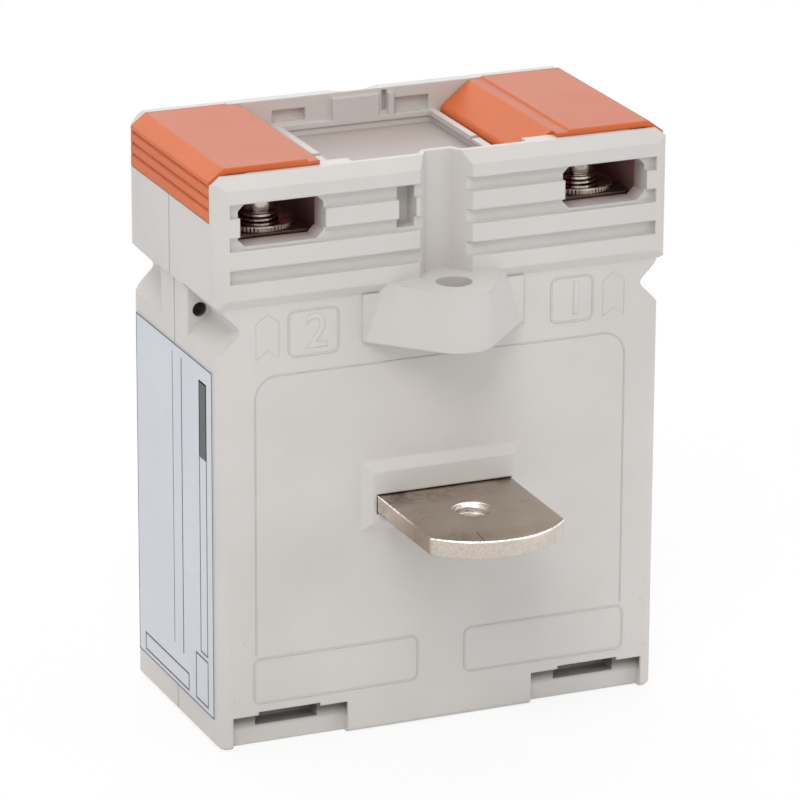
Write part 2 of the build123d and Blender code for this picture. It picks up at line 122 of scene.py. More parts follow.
def lightWorld(spec):
    world = bpy.data.worlds.new("studioWorld")
    world.use_nodes = True
    bpy.context.scene.world = world
    tree = world.node_tree
    background = tree.nodes["Background"]
    background.inputs["Color"].default_value = (*spec["tint"], 1.0)
    background.inputs["Strength"].default_value = spec["level"]
    white = tree.nodes.new("ShaderNodeBackground")
    white.inputs["Color"].default_value = (1.0, 1.0, 1.0, 1.0)
    white.inputs["Strength"].default_value = 1.0
    blend = tree.nodes.new("ShaderNodeMixShader")
    tree.links.new(seenRays(tree), blend.inputs[0])
    tree.links.new(background.outputs[0], blend.inputs[1])
    tree.links.new(white.outputs[0], blend.inputs[2])
    tree.links.new(blend.outputs[0], tree.nodes["World Output"].inputs["Surface"])


lightWorld(worldLight)
bpy.context.scene.view_settings.view_transform = "Standard"
print("camera and light set")


# Materials

def newMaterial(name):
    material = bpy.data.materials.new(name)
    material.use_nodes = True
    tree = material.node_tree
    return material, tree, tree.nodes["Principled BSDF"]


def objectPoint(tree, scale=(1.0, 1.0, 1.0)):
    # Object coordinates, stretched for directional patterns
    source = tree.nodes.new("ShaderNodeTexCoord")
    stretch = tree.nodes.new("ShaderNodeMapping")
    stretch.inputs["Scale"].default_value = scale
    tree.links.new(source.outputs["Object"], stretch.inputs["Vector"])
    return stretch.outputs["Vector"]


def noise(tree, point, scale, detail=2.0, roughness=0.5):
    texture = tree.nodes.new("ShaderNodeTexNoise")
    texture.inputs["Scale"].default_value = scale
    texture.inputs["Detail"].default_value = detail
    texture.inputs["Roughness"].default_value = roughness
    tree.links.new(point, texture.inputs["Vector"])
    return texture.outputs["Fac"]


def spread(tree, value, low, high, start=0.0, end=1.0):
    # A value between start and end moved to the range low to high
    node = tree.nodes.new("ShaderNodeMapRange")
    node.inputs["From Min"].default_value = start
    node.inputs["From Max"].default_value = end
    node.inputs["To Min"].default_value = low
    node.inputs["To Max"].default_value = high
    tree.links.new(value, node.inputs["Value"])
    return node.outputs["Result"]


def combine(tree, operation, first, second):
    node = tree.nodes.new("ShaderNodeMath")
    node.operation = operation
    for socket, value in zip(node.inputs, (first, second)):
        if isinstance(value, (int, float)):
            socket.default_value = value
        else:
            tree.links.new(value, socket)
    return node.outputs[0]


def ramp(tree, value, stops):
    node = tree.nodes.new("ShaderNodeValToRGB")
    while len(node.color_ramp.elements) < len(stops):
        node.color_ramp.elements.new(0.5)
    for element, (place, colour) in zip(node.color_ramp.elements, stops):
        element.position = place
        element.color = (*colour, 1.0)
    tree.links.new(value, node.inputs["Fac"])
    return node.outputs["Color"]


def tinted(tree, share, base, colour):
    # The base colour with a share of another laid over it
    node = tree.nodes.new("ShaderNodeMix")
    node.data_type = "RGBA"
    tree.links.new(share, node.inputs["Factor"])
    tree.links.new(base, node.inputs[6])
    node.inputs[7].default_value = (*colour, 1.0)
    return node.outputs[2]


def roundedNormal(tree, radius, samples=6):
    node = tree.nodes.new("ShaderNodeBevel")
    node.samples = samples
    node.inputs["Radius"].default_value = radius * mm
    return node.outputs["Normal"]


def edgeShare(tree, rounded, strength=4.0):
    # Rises where the rounded normal leaves the flat one, along worn edges
    flat = tree.nodes.new("ShaderNodeNewGeometry")
    dot = tree.nodes.new("ShaderNodeVectorMath")
    dot.operation = "DOT_PRODUCT"
    tree.links.new(rounded, dot.inputs[0])
    tree.links.new(flat.outputs["Normal"], dot.inputs[1])
    away = combine(tree, "SUBTRACT", 1.0, dot.outputs["Value"])
    scaled = combine(tree, "MULTIPLY", away, strength)
    node = tree.nodes.new("ShaderNodeClamp")
    tree.links.new(scaled, node.inputs["Value"])
    return node.outputs["Result"]


def bump(tree, height, strength, distance, normal=None):
    node = tree.nodes.new("ShaderNodeBump")
    node.inputs["Strength"].default_value = strength
    node.inputs["Distance"].default_value = distance * mm
    tree.links.new(height, node.inputs["Height"])
    if normal is not None:
        tree.links.new(normal, node.inputs["Normal"])
    return node.outputs["Normal"]


def product(tree, *values):
    total = values[0]
    for value in values[1:]:
        total = combine(tree, "MULTIPLY", total, value)
    return total


def absolute(tree, value):
    return combine(tree, "ABSOLUTE", value, 0.0)


def partsOf(tree, kind, output):
    # The three parts of what a node of this kind gives out
    source = tree.nodes.new(kind)
    parts = tree.nodes.new("ShaderNodeSeparateXYZ")
    tree.links.new(source.outputs[output], parts.inputs["Vector"])
    return parts.outputs


def placeParts(tree):
    return partsOf(tree, "ShaderNodeTexCoord", "Object")


def facingParts(tree):
    return partsOf(tree, "ShaderNodeNewGeometry", "Normal")


def within(tree, axis, low, high, soft=0.05, both=False):
    # 1 between two places along an axis in millimetres, with both on each half of the axis
    value = placeParts(tree)[axis]
    if both:
        value = absolute(tree, value)
    rise = spread(tree, value, 0.0, 1.0, (low - soft) * mm, (low + soft) * mm)
    fall = spread(tree, value, 1.0, 0.0, (high - soft) * mm, (high + soft) * mm)
    return product(tree, rise, fall)


def insideBox(tree, box):
    # Axes that the box doesn't name are open
    spans = [within(tree, axis, *box[axis], both=axis in box["both"]) for axis in "XYZ" if axis in box]
    return product(tree, *spans)


def patches(tree, spec):
    # Noise spread to a share, strongest where it is high
    pattern = noise(tree, objectPoint(tree), spec["scale"], spec["detail"], spec["roughness"])
    return spread(tree, pattern, spec["low"], spec["high"], *spec["between"])


# Values that all plastics share
plasticBase = {
    "cloudDetail": 3.0, "cloudStops": (0.35, 0.65), "grainDetail": 3.0, "grainRoughness": 0.65,
    "wornShare": 0.6, "gloss": 0.45, "bumpStrength": 0.6,
}
casePlastic = {
    "pale": (0.622, 0.600, 0.582), "deep": (0.580, 0.556, 0.538), "worn": (0.690, 0.670, 0.655),
    "roughLow": 0.40, "roughHigh": 0.55, "edgeRadius": 0.30,
    "grainScale": 3400.0, "grainDepth": 0.032, "cloudScale": 55.0,
    # The front's smooth panel, and the pits beside it at the foot
    "panel": {"both": "", "X": (-25.0, 25.0), "Y": (-15.1, -14.9), "Z": (4.6, 48.65), "grainShare": 0.35},
    "pits": {"both": "", "Y": (-15.1, -14.9), "Z": (4.0, 17.0, 2.0), "beside": (-25.9, 26.6),
             "colour": (0.400, 0.375, 0.355), "scale": 2600.0, "detail": 1.0, "roughness": 0.5,
             "low": 0.0, "high": 0.8, "between": (0.68, 0.72)},
    # Painted shade in the terminal chambers, on the tray's floor, in the foot recesses and in the seal holes
    "paintedShade": [
        # Painted shade inside the terminal chambers, reddened as if lit through the orange covers
        {"share": 0.62, "colour": (0.360, 0.060, 0.045), "both": "X",
         "X": (14.2, 28.0), "Y": (-12.8, 12.4, 1.9), "Z": (63.6, 73.4, 0.9)},
        # Painted shade on the tray's floor, darker and warmer
        {"share": 0.92, "colour": (0.440, 0.385, 0.362), "both": "X",
         "X": (-1.0, 13.6), "Y": (-11.5, 13.4), "Z": (69.6, 69.95)},
        # Painted shadow in the foot clip recesses and slots, fading out towards the bottom
        {"share": 0.86, "colour": (0.100, 0.080, 0.068), "both": "XY",
         "X": (12.5, 28.2), "Y": (10.0, 14.7), "Z": (2.65, 14.0, 0.65)},
        # Painted shade inside the seal holes
        {"share": 0.85, "colour": (0.070, 0.050, 0.042), "both": "XY",
         "X": (27.0, 29.15), "Y": (-1.0, 4.3, 0.25), "Z": (53.6, 55.8)},
    ],
}
coverPlastic = {
    "pale": (0.660, 0.158, 0.046), "deep": (0.610, 0.138, 0.038), "worn": (0.800, 0.225, 0.070),
    "roughLow": 0.40, "roughHigh": 0.54, "edgeRadius": 0.30, "gloss": 0.24,
    # Painted sheen on the faces that look up
    "paintedTopSheen": {"colour": (0.500, 0.142, 0.070), "facing": (0.80, 0.97)},
    "grainScale": 3600.0, "grainDepth": 0.022, "cloudScale": 90.0,
    "glow": {"weight": 0.35, "radius": (1.0, 0.15, 0.04), "scale": 1.8},
}
linerPlastic = {
    "pale": (0.020, 0.020, 0.022), "deep": (0.012, 0.012, 0.013), "worn": (0.035, 0.035, 0.037),
    "roughLow": 0.45, "roughHigh": 0.60, "edgeRadius": 0.2,
    "grainScale": 4000.0, "grainDepth": 0.01, "cloudScale": 80.0,
}
labelFilm = {
    "pale": (0.594, 0.621, 0.680), "deep": (0.558, 0.586, 0.643), "worn": (0.640, 0.668, 0.722),
    "roughLow": 0.22, "roughHigh": 0.32, "edgeRadius": 0.05,
    "grainScale": 1500.0, "grainDepth": 0.003, "cloudScale": 45.0,
}
printInk = {
    "pale": (0.075, 0.078, 0.086), "deep": (0.050, 0.052, 0.058), "worn": (0.110, 0.113, 0.120),
    "roughLow": 0.35, "roughHigh": 0.50, "edgeRadius": 0.02,
    "grainScale": 2600.0, "grainDepth": 0.002, "cloudScale": 400.0,
}


def mouldedPlastic(name, spec):
    spec = {**plasticBase, **spec}
    material, tree, shader = newMaterial(name)
    point = objectPoint(tree)
    cloud = noise(tree, point, spec["cloudScale"], spec["cloudDetail"])
    grain = noise(tree, point, spec["grainScale"], spec["grainDetail"], spec["grainRoughness"])
    low, high = spec["cloudStops"]
    colour = ramp(tree, cloud, [(low, spec["deep"]), (high, spec["pale"])])
    edges = roundedNormal(tree, spec["edgeRadius"])
    colour = tinted(tree, product(tree, edgeShare(tree, edges), spec["wornShare"]), colour, spec["worn"])
    if "pits" in spec:
        pits = spec["pits"]
        beside = combine(tree, "SUBTRACT", 1.0, within(tree, "X", *pits["beside"]))
        share = product(tree, beside, insideBox(tree, pits))
        colour = tinted(tree, product(tree, patches(tree, pits), share), colour, pits["colour"])
    if "panel" in spec:
        smooth = spread(tree, insideBox(tree, spec["panel"]), spec["panel"]["grainShare"], 1.0)
        grain = product(tree, grain, smooth)
    # Painted shade and shadow laid over the case colour in each listed box
    for place in spec.get("paintedShade", []):
        colour = tinted(tree, product(tree, insideBox(tree, place), place["share"]), colour, place["colour"])
    if "paintedTopSheen" in spec:
        # Painted sheen: a duller, pinker orange where the surface faces up, standing in for the gloss of the
        # light above
        share = spread(tree, facingParts(tree)["Z"], 0.0, 1.0, *spec["paintedTopSheen"]["facing"])
        colour = tinted(tree, share, colour, spec["paintedTopSheen"]["colour"])
    if "glow" in spec:
        shader.inputs["Subsurface Weight"].default_value = spec["glow"]["weight"]
        shader.inputs["Subsurface Radius"].default_value = spec["glow"]["radius"]
        shader.inputs["Subsurface Scale"].default_value = spec["glow"]["scale"] * mm
    tree.links.new(colour, shader.inputs["Base Color"])
    tree.links.new(spread(tree, cloud, spec["roughLow"], spec["roughHigh"]), shader.inputs["Roughness"])
    shader.inputs["Specular IOR Level"].default_value = spec["gloss"]
    relief = bump(tree, grain, spec["bumpStrength"], spec["grainDepth"], edges)
    tree.links.new(relief, shader.inputs["Normal"])
    return material


# Values that all plated metals share
metalBase = {
    "brushStretch": (1.0, 0.06, 1.0), "brushDetail": 2.0, "cloudDetail": 4.0, "patternRoughness": 0.6,
    "cloudStops": (0.32, 0.66), "wornShare": 0.7, "bumpStrength": 0.5,
}
bladePlating = {
    "pale": (0.500, 0.425, 0.355), "deep": (0.405, 0.330, 0.265), "worn": (0.780, 0.720, 0.650),
    "roughLow": 0.22, "roughHigh": 0.36, "edgeRadius": 0.05, "brushScale": 1600.0, "brushDepth": 0.003,
    "cloudScale": 170.0,
    "wearAndHighlights": {
        "stain": {"colour": (0.105, 0.070, 0.047), "reach": (18.2, 21.3), "across": (-5.0, 6.0),
                  "farShare": 0.15, "scale": 620.0, "detail": 3.0, "roughness": 0.6,
                  "low": 0.05, "high": 0.75, "between": (0.40, 0.60)},
        # Painted highlight on the faces that look forward or back
        "nose": {"colour": (0.640, 0.580, 0.515), "share": 0.9, "facing": (0.35, 0.75),
                 "scale": 2600.0, "detail": 2.0, "roughness": 0.7, "low": 0.55, "high": 1.0,
                 "between": (0.38, 0.60)},
        # Painted glints on the faces that slope up and forward
        "rim": {"colour": (0.980, 0.965, 0.940), "facing": (0.15, 0.45),
                "scale": 1900.0, "detail": 2.0, "roughness": 0.7, "low": 0.25, "high": 1.0,
                "between": (0.40, 0.50)},
        "scratch": {"from": (-2.85, -32.34), "to": (-3.32, -35.83), "half": 0.09, "core": 0.4,
                    "height": (31.3, 40.0), "ends": 0.2},
    },
}
# Painted reflection: the very dark and very bright patches stand in for the dark chamber and the highlights
# mirrored in the screws
screwPlating = {
    "pale": (0.800, 0.750, 0.680), "deep": (0.230, 0.185, 0.150), "worn": (0.970, 0.940, 0.890),
    "roughLow": 0.05, "roughHigh": 0.16, "edgeRadius": 0.06, "brushScale": 2500.0, "brushDepth": 0.003,
    "cloudScale": 300.0,
}
# Painted shade: the terminal bars are coloured dark as they look in the shaded chambers
barPlating = {
    "pale": (0.210, 0.165, 0.135), "deep": (0.130, 0.098, 0.080), "worn": (0.300, 0.250, 0.210),
    "roughLow": 0.30, "roughHigh": 0.45, "edgeRadius": 0.1, "brushScale": 1500.0, "brushDepth": 0.004,
    "cloudScale": 200.0,
}
coreSteel = {
    "pale": (0.160, 0.160, 0.165), "deep": (0.100, 0.100, 0.105), "worn": (0.220, 0.220, 0.225),
    "roughLow": 0.35, "roughHigh": 0.50, "edgeRadius": 0.1, "brushScale": 2500.0, "brushDepth": 0.01,
    "cloudScale": 140.0,
}


def wornAndHighlightedBlade(tree, colour, wearAndHighlights):
    # Stained beside the case, with a painted highlight on the faces that look along the blade and painted
    # glints along its upper rim
    place, facing = placeParts(tree), facingParts(tree)
    stain, nose, rim, scratch = wearAndHighlights["stain"], wearAndHighlights["nose"], wearAndHighlights["rim"], wearAndHighlights["scratch"]
    near, far = stain["reach"]
    first, last = stain["across"]
    close = product(tree, spread(tree, absolute(tree, place["Y"]), 1.0, 0.0, near * mm, far * mm),
                    spread(tree, place["X"], 1.0, stain["farShare"], first * mm, last * mm))
    colour = tinted(tree, product(tree, close, patches(tree, stain)), colour, stain["colour"])
    ahead = absolute(tree, facing["Y"])
    # Painted highlight where the surface looks along the blade
    front = spread(tree, ahead, 0.0, nose["share"], *nose["facing"])
    colour = tinted(tree, product(tree, front, patches(tree, nose)), colour, nose["colour"])
    # Painted glints along the rim
    slope = product(tree, spread(tree, facing["Z"], 0.0, 1.0, *rim["facing"]),
                    spread(tree, ahead, 0.0, 1.0, *rim["facing"]))
    colour = tinted(tree, product(tree, slope, patches(tree, rim)), colour, rim["colour"])
    # One scratch across the front blade
    (x0, y0), (x1, y1) = scratch["from"], scratch["to"]
    along = combine(tree, "SUBTRACT", place["Y"], y0 * mm)
    lean = product(tree, along, (x1 - x0) / (y1 - y0))
    aside = absolute(tree, combine(tree, "SUBTRACT", combine(tree, "SUBTRACT", place["X"], x0 * mm), lean))
    half = scratch["half"] * mm
    mark = product(tree, spread(tree, aside, 1.0, 0.0, half * scratch["core"], half),
                   within(tree, "Y", y1, y0, scratch["ends"]), within(tree, "Z", *scratch["height"]))
    return tinted(tree, mark, colour, stain["colour"])


def platedMetal(name, spec):
    spec = {**metalBase, **spec}
    material, tree, shader = newMaterial(name)
    rough = spec["patternRoughness"]
    along = objectPoint(tree, spec["brushStretch"])
    brush = noise(tree, along, spec["brushScale"], spec["brushDetail"], rough)
    cloud = noise(tree, objectPoint(tree), spec["cloudScale"], spec["cloudDetail"], rough)
    low, high = spec["cloudStops"]
    colour = ramp(tree, cloud, [(low, spec["deep"]), (high, spec["pale"])])
    edges = roundedNormal(tree, spec["edgeRadius"])
    colour = tinted(tree, product(tree, edgeShare(tree, edges), spec["wornShare"]), colour, spec["worn"])
    if "wearAndHighlights" in spec:
        colour = wornAndHighlightedBlade(tree, colour, spec["wearAndHighlights"])
    tree.links.new(colour, shader.inputs["Base Color"])
    shader.inputs["Metallic"].default_value = 1.0
    tree.links.new(spread(tree, cloud, spec["roughLow"], spec["roughHigh"]), shader.inputs["Roughness"])
    relief = bump(tree, brush, spec["bumpStrength"], spec["brushDepth"], edges)
    tree.links.new(relief, shader.inputs["Normal"])
    return material


wireEnamel = {
    "pale": (0.500, 0.170, 0.060), "deep": (0.330, 0.095, 0.030), "turnScale": 320.0, "turnDetail": 3.0,
    "turnStops": (0.3, 0.7), "metallic": 0.6, "roughness": 0.35, "coat": 0.6,
    "bumpStrength": 0.4, "bumpDepth": 0.05,
}


def enamelledCopper(name, spec):
    material, tree, shader = newMaterial(name)
    cloud = noise(tree, objectPoint(tree), spec["turnScale"], spec["turnDetail"])
    low, high = spec["turnStops"]
    colour = ramp(tree, cloud, [(low, spec["deep"]), (high, spec["pale"])])
    tree.links.new(colour, shader.inputs["Base Color"])
    shader.inputs["Metallic"].default_value = spec["metallic"]
    shader.inputs["Roughness"].default_value = spec["roughness"]
    shader.inputs["Coat Weight"].default_value = spec["coat"]
    relief = bump(tree, cloud, spec["bumpStrength"], spec["bumpDepth"])
    tree.links.new(relief, shader.inputs["Normal"])
    return material


finishes = {
    "case_plastic": mouldedPlastic("casePlastic", casePlastic),
    "cover_plastic": mouldedPlastic("coverPlastic", coverPlastic),
    "plated_copper": platedMetal("bladePlating", bladePlating),
    "bar_metal": platedMetal("barPlating", barPlating),
    "screw_steel": platedMetal("screwPlating", screwPlating),
    "copper_wire": enamelledCopper("wireEnamel", wireEnamel),
    "core_steel": platedMetal("coreSteel", coreSteel),
    "core_liner": mouldedPlastic("linerPlastic", linerPlastic),
    "label_paper": mouldedPlastic("labelFilm", labelFilm),
}
inkFinish = mouldedPlastic("printInk", printInk)
slotOf = {entry["node"]: entry["material_slot"] for entry in frame["record"]["subparts"]}
for nodeName, node in nodes.items():
    node.data.materials.clear()
    node.data.materials.append(finishes[slotOf[nodeName]])
print("materials set:", len(finishes) + 1)


# Making a piece from a finished bmesh, in millimetres

pieceMerge, profileMerge, planeMerge = 0.002, 0.001, 1e-5


def finishPiece(shape, name, body, slot, stands=None, material=None, sharp=32.0):
    bmesh.ops.remove_doubles(shape, verts=shape.verts, dist=pieceMerge)
    bmesh.ops.recalc_face_normals(shape, faces=shape.faces)
    bmesh.ops.scale(shape, vec=(mm, mm, mm), verts=shape.verts)
    mesh = bpy.data.meshes.new(name)
    shape.to_mesh(mesh)
    shape.free()
    mesh.shade_smooth()
    mesh.set_sharp_from_angle(angle=math.radians(sharp))
    mesh.materials.append(material or finishes[slot])
    piece = bpy.data.objects.new(name, mesh)
    bpy.context.collection.objects.link(piece)
    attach(piece, body)
    if stands:
        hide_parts(stands)


def outlineOf(shape, points):
    # A closed run of edges through the points
    verts = [shape.verts.new(point) for point in points]
    edges = [shape.edges.new((verts[i - 1], verts[i])) for i in range(len(verts))]
    return verts, edges


def capEnds(shape):
    openEdges = [edge for edge in shape.edges if len(edge.link_faces) == 1]
    bmesh.ops.holes_fill(shape, edges=openEdges, sides=0)


def helix(shape, points, turns, pitch, perTurn):
    verts, edges = outlineOf(shape, points)
    steps = max(3, round(turns * perTurn))
    bmesh.ops.spin(shape, geom=verts + edges, cent=(0, 0, 0), axis=(0, 0, 1),
                   dvec=(0, 0, turns * pitch / steps), angle=math.tau * turns, steps=steps,
                   use_merge=False, use_duplicate=False)


def fullTurn(shape, verts, edges, steps):
    bmesh.ops.spin(shape, geom=verts + edges, cent=(0, 0, 0), axis=(0, 0, 1), angle=math.tau,
                   steps=steps, use_merge=True)
    bmesh.ops.remove_doubles(shape, verts=shape.verts, dist=profileMerge)


def cutAway(shape, place, way):
    # Takes away what lies past a plane, on the side that its normal points to
    everything = list(shape.verts) + list(shape.edges) + list(shape.faces)
    bmesh.ops.bisect_plane(shape, geom=everything, dist=planeMerge, plane_co=place, plane_no=way,
                           clear_outer=True)


# Terminal screws: flanged head, slot and cross recess, M3 thread

terminalScrew = {
    "headRadius": 2.4, "headTop": 3.2, "edge": 0.32, "edgeBow": (0.12, 0.4),
    "flangeRadius": 2.6, "flangeHeight": 0.5, "flangeEase": 0.1, "flangeDrop": 0.14,
    "neck": [(0.12, 0.06), (0.04, 0.2), (0.0, 0.34)],
    "coreRadius": 1.22, "tipEase": 0.4, "length": 6.2, "sides": 56,
    "threadRadius": 1.48, "pitch": 0.5, "flankShare": 0.44, "rootSink": 0.05, "plainEnd": 0.45, "perTurn": 16,
    "slot": (0.9, 5.6, 1.2), "cross": (0.85, 2.9, 1.5),
}
screwPlace = {"left": -21.5, "right": 21.5, "front": -7.2, "rear": 7.2}
seatHeight = {"clamp": 65.8, "lock": 66.6, "screw": 67.2}
screwTurn = {"leftfront": 24.0, "leftrear": 71.0, "rightfront": -38.0, "rightrear": 12.0}
washerTurn = {"front": 132.0, "rear": -52.0}


def settle(shape, turn, side, place, seat):
    # Turned about its own axis and set down on its terminal
    matrix = Matrix.Rotation(math.radians(turn), 3, "Z")
    bmesh.ops.rotate(shape, cent=(0, 0, 0), matrix=matrix, verts=shape.verts)
    spot = (screwPlace[side], screwPlace[place], seatHeight[seat])
    bmesh.ops.translate(shape, vec=spot, verts=shape.verts)


def screwShape(spec):
    shape = bmesh.new()
    core, tip, end = spec["coreRadius"], spec["tipEase"], -spec["length"]
    flange, ease, rim = spec["flangeRadius"], spec["flangeEase"], spec["flangeHeight"]
    radius, top, edge = spec["headRadius"], spec["headTop"], spec["edge"]
    little, much = spec["edgeBow"]
    profile = [(0, end), (core - tip, end), (core, end + tip), (core, 0.0)]
    profile += [(flange - ease, 0.0), (flange, ease)]
    profile += [(flange, rim - spec["flangeDrop"]), (flange - ease, rim)]
    profile += [(radius - inward, rim + rise) for inward, rise in spec["neck"]]
    profile += [
        (radius, top - edge), (radius - edge * little, top - edge * much),
        (radius - edge * much, top - edge * little), (radius - edge, top), (0, top),
    ]
    verts = [shape.verts.new((reach, 0, height)) for reach, height in profile]
    edges = [shape.edges.new(pair) for pair in zip(verts, verts[1:])]
    fullTurn(shape, verts, edges, spec["sides"])
    bmesh.ops.recalc_face_normals(shape, faces=shape.faces)
    return shape


def recessShape(spec):
    shape = bmesh.new()
    for (width, length, depth), way in ((spec["slot"], 0.0), (spec["cross"], 90.0)):
        made = bmesh.ops.create_cube(shape, size=1.0)["verts"]
        bmesh.ops.scale(shape, vec=(length, width, depth * 2), verts=made)
        matrix = Matrix.Rotation(math.radians(way), 3, "Z")
        bmesh.ops.rotate(shape, cent=(0, 0, 0), matrix=matrix, verts=made)
        bmesh.ops.translate(shape, vec=(0, 0, spec["headTop"]), verts=made)
    return shape


def cutMesh(base, cutter):
    # The base with the cutter taken away, as a plain mesh
    holders = []
    for shape, name in ((base, "cutBase"), (cutter, "cutTool")):
        mesh = bpy.data.meshes.new(name)
        shape.to_mesh(mesh)
        shape.free()
        holder = bpy.data.objects.new(name, mesh)
        bpy.context.collection.objects.link(holder)
        holders.append(holder)
    cut = holders[0].modifiers.new("cut", "BOOLEAN")
    cut.operation = "DIFFERENCE"
    cut.solver = "EXACT"
    cut.use_self = True
    cut.object = holders[1]
    view = bpy.context.evaluated_depsgraph_get()
    mesh = bpy.data.meshes.new_from_object(holders[0].evaluated_get(view))
    for holder in holders:
        old = holder.data
        bpy.data.objects.remove(holder)
        bpy.data.meshes.remove(old)
    return mesh


def screwMesh(spec):
    mesh = cutMesh(screwShape(spec), recessShape(spec))
    shape = bmesh.new()
    shape.from_mesh(mesh)
    bpy.data.meshes.remove(mesh)
    root, crest = spec["coreRadius"] - spec["rootSink"], spec["threadRadius"]
    half = spec["pitch"] * spec["flankShare"]
    turns = (spec["length"] - 2 * spec["plainEnd"]) / spec["pitch"]
    low = -spec["length"] + spec["plainEnd"]
    points = [(root, 0, low - half), (crest, 0, low), (root, 0, low + half)]
    helix(shape, points, turns, spec["pitch"], spec["perTurn"])
    capEnds(shape)
    result = bpy.data.meshes.new("screwMaster")
    shape.to_mesh(result)
    shape.free()
    return result


screwMaster = screwMesh(terminalScrew)
for side in ("left", "right"):
    for place in ("front", "rear"):
        shape = bmesh.new()
        shape.from_mesh(screwMaster)
        settle(shape, screwTurn[side + place], side, place, "screw")
        finishPiece(shape, f"{side}{place.title()}Screw", f"{side}_{place}_screw", "screw_steel",
                    f"{side}_{place}_terminal_screw")
bpy.data.meshes.remove(screwMaster)
print("screws made: 4")


# Spring lock washers and serrated clamp washers

lockWasher = {
    "inner": 1.68, "outer": 2.68, "thickness": 0.42, "edge": 0.1, "rise": 0.16, "sweep": 338.0, "steps": 44,
}
clampWasher = {
    "inner": 1.68, "outer": 4.58, "thickness": 0.8, "edge": 0.14, "teeth": 60, "toothDepth": 0.1,
    "rimBand": 0.01,
}


def lockShape(spec):
    shape = bmesh.new()
    inner, outer, high, edge = spec["inner"], spec["outer"], spec["thickness"], spec["edge"]
    section = [
        (inner + edge, 0, 0), (outer - edge, 0, 0), (outer, 0, edge), (outer, 0, high - edge),
        (outer - edge, 0, high), (inner + edge, 0, high), (inner, 0, high - edge), (inner, 0, edge),
    ]
    share = spec["sweep"] / 360.0
    helix(shape, section, share, spec["rise"] / share, spec["steps"])
    capEnds(shape)
    return shape


def clampShape(spec):
    shape = bmesh.new()
    inner, outer, high, edge = spec["inner"], spec["outer"], spec["thickness"], spec["edge"]
    section = [
        (inner, 0, 0), (outer - edge, 0, 0), (outer, 0, edge), (outer, 0, high - edge),
        (outer - edge, 0, high), (inner, 0, high),
    ]
    verts, edges = outlineOf(shape, section)
    fullTurn(shape, verts, edges, spec["teeth"] * 2)
    rim = [vert for vert in shape.verts if vert.co.xy.length > outer - spec["rimBand"]]
    step = math.tau / (spec["teeth"] * 2)
    dips = [vert for vert in rim if round(math.atan2(vert.co.y, vert.co.x) / step) % 2]
    inward = 1 - spec["toothDepth"] / outer
    bmesh.ops.scale(shape, vec=(inward, inward, 1), verts=dips)
    return shape


for side in ("left", "right"):
    for place in ("front", "rear"):
        for kind, shape in (("lock", lockShape(lockWasher)), ("clamp", clampShape(clampWasher))):
            settle(shape, washerTurn[place], side, place, kind)
            finishPiece(shape, f"{side}{place.title()}{kind.title()}Washer", f"{side}_{place}_clamp",
                        "screw_steel", f"{side}_{place}_{kind}_washer")
print("washers made: 8")


# Primary blades: eased edges and an M5 thread in the hole

# Faces within flatDegrees are joined, and corners over cornerRadians are eased outside easedFrom
primaryBlade = {
    "holeY": 24.8, "low": 29.2, "high": 31.5, "edge": 0.26, "easeSteps": 3,
    "flatDegrees": 1.0, "cornerRadians": 0.7, "easedFrom": 13.5,
}
bladeThread = {
    "root": 2.56, "crest": 2.12, "pitch": 0.8, "flank": 0.36, "perTurn": 36, "spareTurns": 2.5, "trim": 0.12,
}


def bladeShape(node, spec):
    shape = bmesh.new()
    shape.from_mesh(nodes[node].data)
    bmesh.ops.scale(shape, vec=(1 / mm, 1 / mm, 1 / mm), verts=shape.verts)
    bmesh.ops.remove_doubles(shape, verts=shape.verts, dist=pieceMerge)
    bmesh.ops.dissolve_limit(shape, angle_limit=math.radians(spec["flatDegrees"]), verts=shape.verts,
                             edges=shape.edges, use_dissolve_boundaries=False)
    joined = [edge for edge in shape.edges if len(edge.link_faces) == 2]
    sharp = [edge for edge in joined if edge.calc_face_angle() > spec["cornerRadians"]]
    outside = [edge for edge in sharp if max(abs(vert.co.y) for vert in edge.verts) > spec["easedFrom"]]
    bmesh.ops.bevel(shape, geom=outside, offset=spec["edge"], offset_type="OFFSET",
                    segments=spec["easeSteps"], profile=0.5, affect="EDGES", material=-1, clamp_overlap=True)
    return shape


def threadShape(way, blade, spec):
    shape = bmesh.new()
    root, crest, flank, pitch = spec["root"], spec["crest"], spec["flank"], spec["pitch"]
    turns = (blade["high"] - blade["low"]) / pitch + spec["spareTurns"]
    low = blade["low"] - pitch
    points = [(root, 0, low - flank), (crest, 0, low), (root, 0, low + flank)]
    helix(shape, points, turns, pitch, spec["perTurn"])
    capEnds(shape)
    for level, up in ((blade["high"] - spec["trim"], 1), (blade["low"] + spec["trim"], -1)):
        cutAway(shape, (0, 0, level), (0, 0, up))
    capEnds(shape)
    bmesh.ops.translate(shape, vec=(0, way * blade["holeY"], 0), verts=shape.verts)
    return shape


for place, way in (("front", -1), ("rear", 1)):
    finishPiece(bladeShape(f"{place}_primary_blade", primaryBlade), f"{place}Blade", "case", "plated_copper",
                f"{place}_primary_blade", sharp=50.0)
    finishPiece(threadShape(way, primaryBlade, bladeThread), f"{place}BladeThread", "case", "plated_copper",
                sharp=50.0)
print("blades made: 2")


# Raised marks of the front: frames, tags, the panel's outline and the terminal numbers

